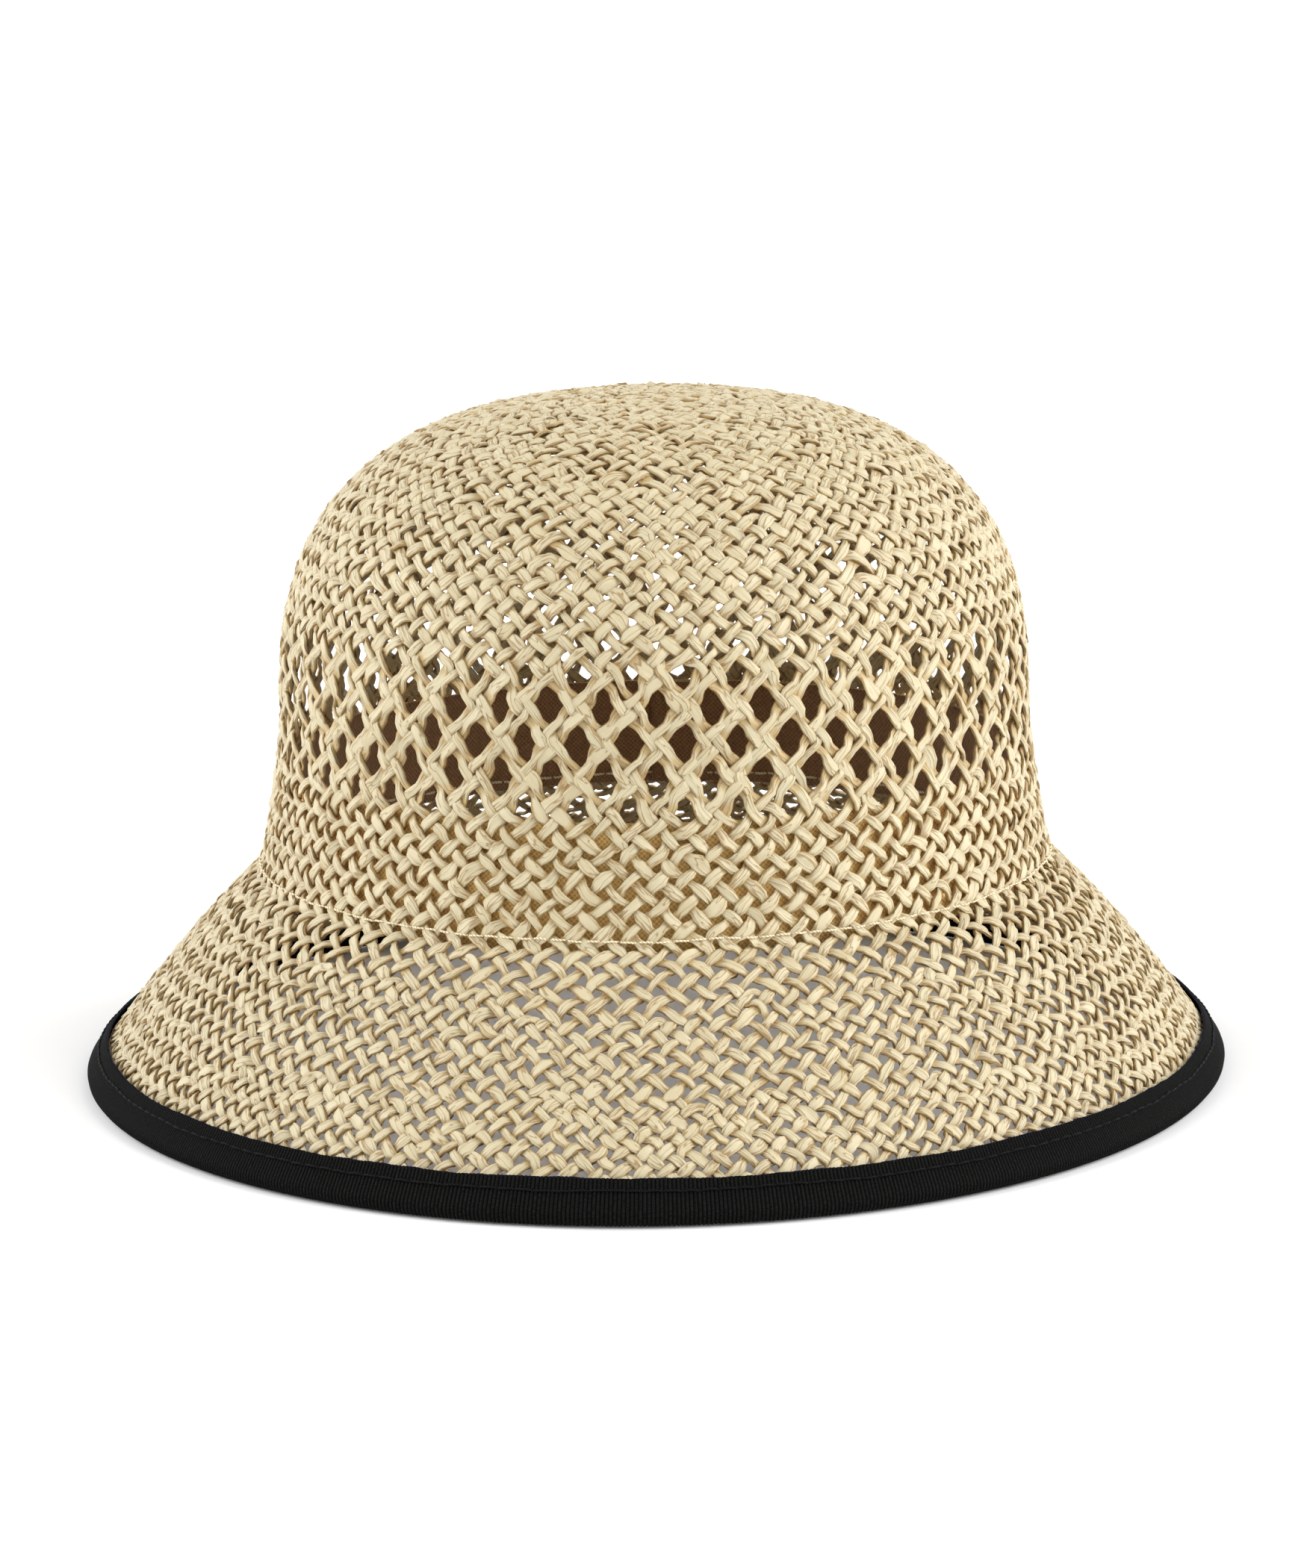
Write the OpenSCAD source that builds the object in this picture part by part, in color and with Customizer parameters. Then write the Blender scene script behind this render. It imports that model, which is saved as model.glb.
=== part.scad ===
// Straw sun hat: a woven hood with an openwork band, a bell-shaped brim bound in ribbon,
// a hat wire inside the binding and a webbing sweatband at the head line.
// The front of the hat faces -Y. It stands on the binding at z = 0.

/* [Head line] */
// Width of the hood at the head line, at the middle of the straw
head_w = 168.4; // [160:0.2:176]
// Length of the hood at the head line, at the middle of the straw
head_l = 200.4; // [192:0.2:208]

/* [Crown] */
// Height of the tip above the head line, at the middle of the straw
crown_h = 99; // [96:1:108]
// Width of the crown where its wall starts to round over
wall_w = 158; // [154:0.5:164]
// Height of that place above the head line
wall_h = 34; // [28:1:38]
// How quickly the wall draws in above the head line, where 1 is a plain cone
wall_flare = 1.4; // [1.2:0.1:2]
// How square the crown's shoulder is, where 2 is an ellipse
shoulder = 2.6; // [2.2:0.1:3.2]

/* [Lattice band] */
// Height of the band's lower edge above the head line
lattice_z = 18; // [14:1:20]
// Number of rows of openings
lattice_rows = 5; // [3:1:5]
// Distance between two rows
row_pitch = 7; // [6:0.5:7.5]
// Number of openings in one row
holes_per_row = 48; // [40:2:52]
// Width of an opening, as a share of its cell
hole_w_share = 0.5; // [0.3:0.05:0.6]
// Height of an opening, as a share of its cell
hole_h_share = 0.68; // [0.5:0.02:0.74]
// Size of the openings in the first and last rows, as a share of the others
end_hole_share = 0.6; // [0.4:0.05:1]

/* [Brim] */
// Width of the whole brim, over the binding
brim_w = 244; // [236:1:256]
// Length of the whole brim, over the binding
brim_l = 282; // [272:1:292]
// Height of the head line above the surface that the hat stands on
brim_drop = 44; // [40:1:50]
// How bell-shaped the brim is, where 0 is a plain cone
brim_bell = 0.2; // [0:0.05:0.3]

/* [Straw] */
// Thickness of the weave
straw_t = 2.6; // [2:0.1:3]

/* [Binding] */
// Thickness of the ribbon
ribbon_t = 0.6; // [0.4:0.1:0.8]
// Width of the ribbon on each face of the brim
ribbon_leg = 6.5; // [5:0.5:9]
// Diameter of the hat wire
wire_d = 1.2; // [1:0.1:1.4]
// Distance of the stitches from the ribbon's upper edge
binding_seam = 2.5; // [1.5:0.5:3.5]

/* [Sweatband] */
// Height of the band above the head line
band_h = 24; // [20:1:28]
// Thickness of the webbing
band_t = 1.2; // [0.8:0.1:1.6]
// Height of the stitches above the head line
band_seam = 1.5; // [1:0.5:3]

/* [Thread] */
// Diameter of the sewing thread
thread_d = 0.8; // [0.5:0.1:1]

/* [Hidden] */

segs = 2 * holes_per_row;
dome_steps = 8;
base_steps = 2;
brim_steps = 4;
arc_steps = 4;
wire_sides = 6;
thread_sides = 4;
slack = 0.15;
wire_room = 1;
joiner_len = 12;
joiner_wall = 0.3;
joiner_slack = 0.2;

head_r = head_w / 2;
wall_r = wall_w / 2;
length_ratio = head_l / head_w;
fold_r = straw_t / 2 + slack + ribbon_t;
edge_r = brim_w / 2 - fold_r;
edge_half_l = brim_l / 2 - fold_r;
lattice_top = lattice_z + (lattice_rows + 1) * row_pitch;
brim_slant = norm(brim_line(1) - brim_line(0));
leg_start = 1 - ribbon_leg / brim_slant;
straw_end = 1 - wire_room / brim_slant;
seam_start = leg_start + binding_seam / brim_slant;

// Half the oval's length for half its width r: in proportion on the crown, then out to the brim's edge
function half_l(r) =
    r <= head_r ? r * length_ratio
    : head_l / 2 + (r - head_r) * (edge_half_l - head_l / 2) / (edge_r - head_r);

// The point of profile point p at step k of the turn round the oval
function around(p, k) =
    let (a = 360 * k / segs) [p[0] * cos(a), half_l(p[0]) * sin(a), p[1]];

// Half the crown's width at height h above the head line
function crown_r(h) =
    h < wall_h ? wall_r + (head_r - wall_r) * pow(1 - h / wall_h, wall_flare)
    : wall_r * pow(1 - pow((h - wall_h) / (crown_h - wall_h), shoulder), 1 / shoulder);

function crown_line(h) = [crown_r(h), brim_drop + h];

// The crown's rounded part by angle, from 0 at the wall to 90 at the tip
function dome_line(a) =
    [wall_r * pow(cos(a), 2 / shoulder),
     brim_drop + wall_h + (crown_h - wall_h) * pow(sin(a), 2 / shoulder)];

// The brim from 0 at the head line to 1 at the wire
function brim_line(t) =
    [head_r + (edge_r - head_r) * t,
     brim_drop + (fold_r - brim_drop) * (t - brim_bell * t * (1 - t))];

// Profile points moved a distance d out of the hood
function moved_out(line, d) =
    [for (i = [0:len(line) - 1])
        let (step = line[min(i + 1, len(line) - 1)] - line[max(i - 1, 0)], u = step / norm(step))
        line[i] + d * [-u[1], u[0]]];

function part_of(list, first, last) = [for (i = [first:last]) list[i]];
function reversed(list) = [for (i = [len(list) - 1:-1:0]) list[i]];

// The hood's profile from the tip to the brim's cut edge, in zones that share their end points
dome_start = asin(pow((lattice_top - wall_h) / (crown_h - wall_h), shoulder / 2));
dome_part = [for (i = [0:dome_steps - 1]) dome_line(90 - (90 - dome_start) * i / dome_steps)];
lattice_part = [for (j = [0:lattice_rows + 1]) crown_line(lattice_top - j * row_pitch)];
base_part = [for (i = [1:base_steps]) crown_line(lattice_z * (1 - i / base_steps))];
brim_part = concat(
    [for (i = [1:brim_steps]) brim_line(leg_start * i / brim_steps)], [brim_line(straw_end)]);
middle = concat(dome_part, lattice_part, base_part, brim_part);
outside = moved_out(middle, straw_t / 2);
inside = moved_out(middle, -straw_t / 2);
dome_end = dome_steps;
lattice_end = dome_end + lattice_rows + 1;
base_end = lattice_end + base_steps;
brim_end = len(middle) - 1;

// A closed profile taken once round the oval
module oval_ring(profile) {
    n = len(profile);
    points = [for (k = [0:segs - 1]) for (p = profile) around(p, k)];
    faces = [for (k = [0:segs - 1]) for (i = [0:n - 1])
        let (a = k * n + i, b = k * n + (i + 1) % n,
             c = ((k + 1) % segs) * n + i, d = ((k + 1) % segs) * n + (i + 1) % n)
        each [[a, c, b], [b, c, d]]];
    polyhedron(points, faces);
}

// A zone of the hood that is a ring with plain walls
module hood_ring(first, last) {
    oval_ring(concat(part_of(outside, first, last), reversed(part_of(inside, first, last))));
}

// A round section of diameter d, at profile point c, taken once round the oval
module oval_rod(c, d, sides) {
    oval_ring([for (i = [0:sides - 1]) c + d / 2 * [cos(-360 * i / sides), sin(-360 * i / sides)]]);
}

module crown_top() {
    profile = concat(part_of(outside, 1, dome_end), reversed(part_of(inside, 1, dome_end)));
    n = len(profile);
    top_pole = segs * n;
    under_pole = segs * n + 1;
    points = concat(
        [for (k = [0:segs - 1]) for (p = profile) around(p, k)],
        [around(outside[0], 0), around(inside[0], 0)]);
    walls = [for (k = [0:segs - 1]) for (i = [0:n - 2])
        let (a = k * n + i, c = ((k + 1) % segs) * n + i)
        each [[a, c, a + 1], [a + 1, c, c + 1]]];
    poles = [for (k = [0:segs - 1])
        let (a = k * n, c = ((k + 1) % segs) * n)
        each [[top_pole, c, a], [under_pole, a + n - 1, c + n - 1]]];
    color("wheat") polyhedron(points, concat(walls, poles));
}

// The openwork: a net of diamond cells in staggered rows, each with an elongated opening.
// The half cells along both edges are closed.
module lattice_band() {
    levels = lattice_rows + 2;
    outer_line = part_of(outside, dome_end, lattice_end);
    inner_line = part_of(inside, dome_end, lattice_end);
    hole_sides = 6;
    net = levels * segs;
    half = net + lattice_rows * holes_per_row * hole_sides;

    // The point part way from cell centre (level j, step k) by x steps and y levels
    function net_point(line, j, k, x, y) =
        let (p = line[j], q = line[j + (y < 0 ? -1 : 1)]) around(p + abs(y) * (q - p), k + x);
    function hole_points(line) =
        [for (j = [1:lattice_rows]) for (i = [0:holes_per_row - 1])
            let (size = (j == 1 || j == lattice_rows) ? end_hole_share : 1,
                 w = hole_w_share * size, h = hole_h_share * size, s = h - w * 0.75)
            for (c = [[0, -h], [w, -s], [w, s], [0, h], [-w, s], [-w, -s]])
                net_point(line, j, 2 * i + j % 2, c[0], c[1])];
    function knot(j, k) = j * segs + (k + segs) % segs;
    function rim(j, i, c) = net + ((j - 1) * holes_per_row + i) * hole_sides + c % hole_sides;
    function cell(j, i) =
        let (k = 2 * i + j % 2, up = knot(j - 1, k), right = knot(j, k + 1),
             down = knot(j + 1, k), left = knot(j, k - 1), h = [for (c = [0:5]) rim(j, i, c)])
        [[up, h[0], h[1]], [up, h[1], right], [right, h[1], h[2]], [right, h[2], h[3]],
         [right, h[3], down], [down, h[3], h[4]], [down, h[4], left], [left, h[4], h[5]],
         [left, h[5], h[0]], [left, h[0], up]];
    function edge_cells() =
        [for (i = [0:holes_per_row - 1])
            let (k = 2 * i, m = 2 * i + (levels - 1) % 2)
            each [[knot(0, k - 1), knot(1, k), knot(0, k)],
                  [knot(0, k), knot(1, k), knot(0, k + 1)],
                  [knot(levels - 1, m - 1), knot(levels - 1, m), knot(levels - 2, m)],
                  [knot(levels - 1, m), knot(levels - 1, m + 1), knot(levels - 2, m)]]];
    face = concat(
        [for (j = [1:lattice_rows]) for (i = [0:holes_per_row - 1]) each cell(j, i)],
        edge_cells());
    other_face = [for (f = face) [f[0] + half, f[2] + half, f[1] + half]];
    hole_walls = [for (j = [1:lattice_rows]) for (i = [0:holes_per_row - 1])
        for (c = [0:hole_sides - 1])
            let (a = rim(j, i, c), b = rim(j, i, c + 1))
            each [[a, a + half, b], [b, a + half, b + half]]];
    edge_walls = [for (k = [0:segs - 1])
        let (a = knot(0, k), b = knot(0, k + 1),
             c = knot(levels - 1, k), d = knot(levels - 1, k + 1))
        each [[a, b, a + half], [b, b + half, a + half], [c, c + half, d], [d, c + half, d + half]]];
    function surface_points(line) =
        concat([for (p = line) for (k = [0:segs - 1]) around(p, k)], hole_points(line));
    color("burlywood")
        polyhedron(concat(surface_points(outer_line), surface_points(inner_line)),
                   concat(face, other_face, hole_walls, edge_walls));
}

module crown_base() {
    color("wheat") hood_ring(lattice_end, base_end);
}

module brim() {
    color("wheat") hood_ring(base_end, brim_end);
}

module sweatband() {
    heights = [band_h, lattice_z, lattice_z / 2, 0];
    line = concat([for (h = heights) crown_line(h)], [crown_line(0) - [0, band_seam]]);
    back = moved_out(line, -straw_t / 2 - 2 * slack);
    front = moved_out(line, -straw_t / 2 - 2 * slack - band_t);
    color("tan") oval_ring(concat(back, reversed(front)));
}

// A row of stitches that lies on a face, d out of the middle of the straw
module thread_ring(line, d) {
    oval_rod(moved_out(line, d)[1], thread_d, thread_sides);
}

module sweatband_needle_thread() {
    line = [crown_line(2 * band_seam), crown_line(band_seam), crown_line(0)];
    color("ivory") thread_ring(line, straw_t / 2 + thread_d / 2 + slack);
}

module sweatband_bobbin_thread() {
    line = [crown_line(2 * band_seam), crown_line(band_seam), crown_line(0)];
    color("ivory") thread_ring(line, -straw_t / 2 - 3 * slack - band_t - thread_d / 2);
}

module edge_binding() {
    leg = [brim_line(leg_start), brim_line(1)];
    along = (leg[1] - leg[0]) / norm(leg[1] - leg[0]);
    across = [-along[1], along[0]];
    function fold(r) =
        [for (i = [1:arc_steps - 1])
            leg[1] + r * (cos(180 * i / arc_steps) * across + sin(180 * i / arc_steps) * along)];
    function wrap(r) = concat(moved_out(leg, r), fold(r), reversed(moved_out(leg, -r)));
    color("dimgray") oval_ring(concat(wrap(fold_r), reversed(wrap(fold_r - ribbon_t))));
}

module binding_needle_thread() {
    line = [brim_line(leg_start), brim_line(seam_start), brim_line(1)];
    color("black") thread_ring(line, fold_r + thread_d / 2 + slack);
}

module binding_bobbin_thread() {
    line = [brim_line(leg_start), brim_line(seam_start), brim_line(1)];
    color("black") thread_ring(line, -fold_r - thread_d / 2 - slack);
}

module brim_wire() {
    color("silver") oval_rod(brim_line(1), wire_d, wire_sides);
}

// The sleeve over the wire's two ends, at the back of the hat
module wire_joiner() {
    bore_r = wire_d / 2 + joiner_slack;
    color("gray") translate([0, edge_half_l, fold_r]) rotate([0, 90, 0]) difference() {
        cylinder(h = joiner_len, r = bore_r + joiner_wall, center = true, $fn = 48);
        cylinder(h = joiner_len + 1, r = bore_r, center = true, $fn = 48);
    }
}

crown_top();
lattice_band();
crown_base();
brim();
sweatband();
sweatband_needle_thread();
sweatband_bobbin_thread();
edge_binding();
binding_needle_thread();
binding_bobbin_thread();
brim_wire();
wire_joiner();
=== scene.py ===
"""Straw sun hat: a hood woven from paper strands, with an openwork band, a bound brim and a sweatband.

Metres, +Z up, the front of the hat faces -Y. The hood's surface is an oval turned round a profile, and a
place on it is given by the angle round the oval and the distance s along the profile from the tip.
"""
import math

import bpy
import numpy as np
from mathutils import Matrix, Vector


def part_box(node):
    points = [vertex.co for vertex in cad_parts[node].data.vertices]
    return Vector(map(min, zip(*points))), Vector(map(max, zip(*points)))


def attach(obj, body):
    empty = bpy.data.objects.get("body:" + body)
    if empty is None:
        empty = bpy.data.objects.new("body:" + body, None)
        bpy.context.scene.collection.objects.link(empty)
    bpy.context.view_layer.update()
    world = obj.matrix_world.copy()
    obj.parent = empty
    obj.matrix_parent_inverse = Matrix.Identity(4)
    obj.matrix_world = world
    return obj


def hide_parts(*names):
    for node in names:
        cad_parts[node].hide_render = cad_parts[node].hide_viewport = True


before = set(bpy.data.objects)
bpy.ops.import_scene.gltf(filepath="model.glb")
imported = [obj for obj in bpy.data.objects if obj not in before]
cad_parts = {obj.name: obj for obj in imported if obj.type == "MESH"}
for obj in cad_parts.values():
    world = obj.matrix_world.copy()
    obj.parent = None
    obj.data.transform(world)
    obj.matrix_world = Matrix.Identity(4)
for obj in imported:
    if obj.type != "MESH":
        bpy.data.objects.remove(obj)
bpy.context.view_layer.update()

MM = 0.001
TAU = 2 * math.pi
rng = np.random.default_rng(57)

# Camera, at the photo's viewing angle
CAMERA_DISTANCE = 0.900
CAMERA_ELEVATION = math.radians(9.25)
CAMERA_AZIMUTH = math.radians(6.2)
CAMERA_ROLL = math.radians(0.49)
CAMERA_LENS = 96.2
CAMERA_AIM = (0, 0, 0.070)
CAMERA_SHIFT_X = -0.0016
CAMERA_SHIFT_Y = -0.0328

# Light: how strong the sky is at its sides, how much it favours the right, and the three softboxes
SKY_SIDES = 2.5
SKY_LEAN = 0.12
RIGHT_LIGHT = 2.3
LEFT_LIGHT = 2.0
FRONT_LIGHT = 0.82
SIDE_SPREAD = 60
FRONT_SPREAD = 70
FLOOR_SHADE = 0.90

# Hood: the CAD outline's shape values, which the frame's boxes don't give
STRAW_T = 2.6 * MM
WALL_H = 34 * MM
WALL_FLARE = 1.4
SHOULDER = 2.6
BRIM_BELL = 0.2
PROFILE_STEP = 0.25 * MM
STRAW_NODES = ("crown_top", "lattice_band", "crown_base", "brim")

# Weave: strands of one family at the wall, their lean, and the room they take towards the tip
WALL_STRANDS = 96
SLOPE = math.radians(40.4)
SHOULDER_PITCH = 5.4 * MM
TIP_PITCH = 4.4 * MM
FEWEST_STRANDS = 9
CENTRE_R = 6.5 * MM
EDGE_CUT = 1.2 * MM

# Strands that join: rounds in the brim as (way below the head line, number), and how room is made for one
BRIM_ROUNDS = ((12 * MM, 32), (33 * MM, 28))
ROUND_SCATTER = 4 * MM
ROOM_RAMP = 6 * MM
SETTLING = 0.28 / MM

# Openwork: how far a strand moves towards its partner, in pitches, level with a node, a quarter of a row from
# it and halfway between nodes, and how much longer both families linger at the nodes
LATTICE_ROW = 7 * MM
NODE_SHIFT = 0.285
SIDE_SHIFT = 0.26
STRIP_SHIFT = 0.365
UPRIGHT = 0.02
PAIRING_RAMP = 10 * MM
WIDTH_RAMP = 6 * MM

# Strand widths from the tip to the brim and in the openwork, the share lost between crossings, and scatter
TIP_W = 2.6 * MM
DOME_W = 2.55 * MM
WALL_W = 2.4 * MM
BASE_W = 2.2 * MM
BRIM_W = 2.05 * MM
NODE_W = 2.35 * MM
STRIP_W = 1.95 * MM
PINCH = 0.18
OPENWORK_PINCH = 0.08
WIDTH_SCATTER = 0.14
LEAST_WIDE = 0.7
MOST_WIDE = 1.45
WANDER = 0.07

# Strand section, and its way over and under: OVER is the rise on top, FLOAT how long it stays there
STRAND_T = 0.74 * MM
EDGE_POWER = 0.8
FACE_POWER = 0.32
OVER = 0.37 * MM
FLOAT = 2.0
TUCKED = -2.0
FOLD_R = 0.8 * MM
SHAKE = 0.36 * MM
TILT = 0.18

# Folds pressed into a strand: how many, their width round it in radians, and their depth in half sizes
GROOVES = 5
GROOVE_W = 0.26
GROOVE_DRIFT = 0.12
GROOVE_DEPTH = 0.11
GROOVE_CHANGE = 0.18
DEEPEST_GROOVE = 0.4
LOPSIDED = 0.10
GRIT = 0.03

# Mesh: samples between crossings, points round a strand, the rings that fit into one piece, and how far
# the pattern of one strand can start from another's
SAMPLES = 6
SECTION_SIDES = 16
RINGS_PER_PIECE = 6200
PATTERN_SHIFT = 3.7

# Tip patch: the plain square that the weaving starts from
PATCH_STRANDS = 5
PATCH_PITCH = 3.1 * MM
PATCH_W = 2.6 * MM
PATCH_OVERLAP = 2.4 * MM
PATCH_RISE = 0.4

# Ribbon: its face is this far out from the straw's middle, and its rows are shares of a leg
RIBBON_T = 0.6 * MM
RIBBON_FACE = STRAW_T / 2 + 0.15 * MM + RIBBON_T
RIBBON_LEG = 6.5 * MM
RIBBON_ROWS = (1, 0.95, 0.6, 0.3, 0)
RIBBON_SEAM = 2.5 * MM
RIBBON_LAP = 8 * MM
RIB_PITCH = 0.78 * MM
RIB_H = 0.24 * MM
RIB_PROFILE = (0.0, 0.75, 1.0, 0.75)

# Sweatband
BAND_T = 1.2 * MM
BAND_GAP = 0.3 * MM
BAND_LAP = 12 * MM
BAND_SEAM = 1.5 * MM
BAND_COLUMNS = 420
BAND_ROWS = 12
WEBBING_YARN = 0.55 * MM

# Trims and stitches: how unevenly they lie, and the room under a trim's lapped end
RIPPLE = 0.12 * MM
LAP_EASE = 0.1 * MM

# Sewing: the pitch, the points along one stitch and the thickness of each thread
STITCH = 3.4 * MM
STITCH_STEPS = 8
THREAD_SIDES = 8
BAND_NEEDLE_W = 0.42 * MM
BAND_BOBBIN_W = 0.6 * MM
BINDING_THREAD_W = 0.45 * MM
THREAD_TWIST = 0.7 * MM

# Wire
WIRE_STEPS = 720
WIRE_SIDES = 10


# ---------------------------------------- camera, stage and lights

def add_camera():
    data = bpy.data.cameras.new("camera")
    camera = bpy.data.objects.new("camera", data)
    bpy.context.scene.collection.objects.link(camera)
    data.lens = CAMERA_LENS
    data.sensor_width = 36
    data.clip_start = 0.05
    eye_line = Vector((
        math.sin(CAMERA_AZIMUTH) * math.cos(CAMERA_ELEVATION),
        -math.cos(CAMERA_AZIMUTH) * math.cos(CAMERA_ELEVATION),
        math.sin(CAMERA_ELEVATION)))
    aim = Vector(CAMERA_AIM)
    camera.location = aim + CAMERA_DISTANCE * eye_line
    turn = eye_line.to_track_quat("Z", "Y").to_matrix()
    camera.rotation_euler = (turn @ Matrix.Rotation(-CAMERA_ROLL, 3, "Z")).to_euler()
    data.shift_x = CAMERA_SHIFT_X
    data.shift_y = CAMERA_SHIFT_Y
    bpy.context.scene.camera = camera


def add_stage():
    """A pale floor that curves up into a backdrop behind the hat."""
    material = bpy.data.materials.new("pale_floor")
    material.use_nodes = True
    shader = material.node_tree.nodes["Principled BSDF"]
    shader.inputs["Base Color"].default_value = (FLOOR_SHADE, FLOOR_SHADE, FLOOR_SHADE, 1)
    shader.inputs["Roughness"].default_value = 0.9
    shader.inputs["Specular IOR Level"].default_value = 0.0
    half, front, back, bend, top = 5.0, -5.0, 2.5, 1.0, 4.0
    turn = np.linspace(0, math.pi / 2, 17)
    line = [(front, 0.0)]
    line += [(back + bend * math.sin(a), bend * (1 - math.cos(a))) for a in turn]
    line.append((back + bend, top))
    points = [(x, y, z) for y, z in line for x in (-half, half)]
    faces = [(2 * k, 2 * k + 1, 2 * k + 3, 2 * k + 2) for k in range(len(line) - 1)]
    mesh = bpy.data.meshes.new("floor")
    mesh.from_pydata(points, [], faces)
    mesh.polygons.foreach_set("use_smooth", [True] * len(faces))
    mesh.materials.append(material)
    floor = bpy.data.objects.new("floor", mesh)
    bpy.context.scene.collection.objects.link(floor)
    bpy.context.scene.view_settings.view_transform = "Standard"


def add_sky():
    """Light that is strong at both sides and weak in front, as between two wide softboxes."""
    world = bpy.data.worlds.new("studio")
    world.use_nodes = True
    tree = world.node_tree
    place = tree.nodes.new("ShaderNodeTexCoord")
    parts = tree.nodes.new("ShaderNodeSeparateXYZ")
    tree.links.new(place.outputs["Generated"], parts.inputs["Vector"])
    lean = tree.nodes.new("ShaderNodeMath")
    lean.operation = "MULTIPLY_ADD"
    lean.inputs[1].default_value = SKY_SIDES
    lean.inputs[2].default_value = SKY_LEAN
    tree.links.new(parts.outputs["X"], lean.inputs[0])
    strength = tree.nodes.new("ShaderNodeMath")
    strength.operation = "MULTIPLY"
    tree.links.new(parts.outputs["X"], strength.inputs[0])
    tree.links.new(lean.outputs[0], strength.inputs[1])
    sky = tree.nodes["Background"]
    sky.inputs["Color"].default_value = (1, 1, 1, 1)
    tree.links.new(strength.outputs[0], sky.inputs["Strength"])
    bpy.context.scene.world = world


def add_distant_light(name, from_place, strength, spread):
    """A softbox so far off that it lights the floor and backdrop evenly."""
    data = bpy.data.lights.new(name, "SUN")
    data.energy = strength
    data.angle = math.radians(spread)
    light = bpy.data.objects.new(name, data)
    light.location = from_place
    light.rotation_euler = (-Vector(from_place)).to_track_quat("-Z", "Y").to_euler()
    bpy.context.scene.collection.objects.link(light)


def add_lights():
    add_distant_light("softbox_right", (2.0, -0.2, 1.3), RIGHT_LIGHT, SIDE_SPREAD)
    add_distant_light("softbox_left", (-2.0, -0.2, 1.3), LEFT_LIGHT, SIDE_SPREAD)
    add_distant_light("softbox_front", (0.1, -2.0, 1.6), FRONT_LIGHT, FRONT_SPREAD)


# ---------------------------------------- the hood's surface

def smooth(x):
    x = np.clip(x, 0, 1)
    return x * x * (3 - 2 * x)


class Hood:
    """The middle of the straw: radius, half length and height along the profile, by arc length."""

    def __init__(self):
        base_low, base_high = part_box("crown_base")
        brim_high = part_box("brim")[1]
        wire_low, wire_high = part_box("brim_wire")
        wire_r = (wire_high[2] - wire_low[2]) / 2
        self.head_z = (base_low[2] + brim_high[2]) / 2
        self.head_r = base_high[0] - STRAW_T / 2
        self.head_l = base_high[1] - STRAW_T / 2
        # The openwork is widest at its lower edge, which gives the radius above the wall's flare.
        band_low, band_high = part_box("lattice_band")
        share = (1 - (band_low[2] - self.head_z) / WALL_H) ** WALL_FLARE
        self.wall_r = (band_high[0] - STRAW_T / 2 - share * self.head_r) / (1 - share)
        self.crown_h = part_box("crown_top")[1][2] - STRAW_T / 2 - self.head_z
        self.edge_r = wire_high[0] - wire_r
        self.edge_l = wire_high[1] - wire_r
        self.edge_z = (wire_high[2] + wire_low[2]) / 2
        r, z = self.outline()
        span = np.hypot(np.diff((r + self.half_l(r)) / 2), np.diff(z))
        s = np.concatenate([[0], np.cumsum(span)])
        self.length = s[-1]
        self.s = np.arange(0, self.length, PROFILE_STEP)
        self.r = np.interp(self.s, s, r)
        self.z = np.interp(self.s, s, z)
        self.l = self.half_l(self.r)
        self.dr = np.gradient(self.r, self.s)
        self.dl = np.gradient(self.l, self.s)
        self.dz = np.gradient(self.z, self.s)
        self.head_s = self.s_at(self.head_z)
        self.mean_r = np.maximum(np.sqrt((self.r ** 2 + self.l ** 2) / 2), 1 * MM)

    def outline(self):
        """Radius and height of the dome, the wall and the brim, from the tip down."""
        turn = np.linspace(math.pi / 2, 0, 600)
        dome_r = self.wall_r * np.clip(np.cos(turn), 0, 1) ** (2 / SHOULDER)
        dome_z = WALL_H + (self.crown_h - WALL_H) * np.sin(turn) ** (2 / SHOULDER)
        up = np.linspace(WALL_H, 0, 100)[1:]
        wall_r = self.wall_r + (self.head_r - self.wall_r) * (1 - up / WALL_H) ** WALL_FLARE
        t = np.linspace(0, 1, 200)[1:]
        brim_r = self.head_r + (self.edge_r - self.head_r) * t
        brim_z = (self.edge_z - self.head_z) * (t - BRIM_BELL * t * (1 - t))
        return (np.concatenate([dome_r, wall_r, brim_r]),
                np.concatenate([dome_z, up, brim_z]) + self.head_z)

    def half_l(self, r):
        """The oval's half length where its half width is r."""
        out = (r - self.head_r) * (self.edge_l - self.head_l) / (self.edge_r - self.head_r)
        return np.where(r <= self.head_r, r * self.head_l / self.head_r, self.head_l + out)

    def s_at(self, z):
        return float(np.interp(-z, -self.z, self.s))

    def points(self, angle, s, off=0.0):
        """Points at these angles and distances, off out of the surface, and the surface's normals."""
        angle, s = np.broadcast_arrays(angle, s)
        r, l, z = (np.interp(s, self.s, v) for v in (self.r, self.l, self.z))
        dr, dl, dz = (np.interp(s, self.s, v) for v in (self.dr, self.dl, self.dz))
        c, d = np.cos(angle), np.sin(angle)
        r_safe, l_safe = np.maximum(r, 0.1 * MM), np.maximum(l, 0.1 * MM)
        rise = dr * l_safe * c * c + dl * r_safe * d * d
        normal = np.stack([-dz * l_safe * c, -dz * r_safe * d, rise], -1)
        normal /= np.linalg.norm(normal, axis=-1, keepdims=True)
        place = np.stack([r * c, l * d, z], -1)
        return place + normal * np.asarray(off)[..., None], normal


hood = Hood()


# ---------------------------------------- the weave's layout

def wrap(angle):
    return (angle + math.pi) % TAU - math.pi


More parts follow.
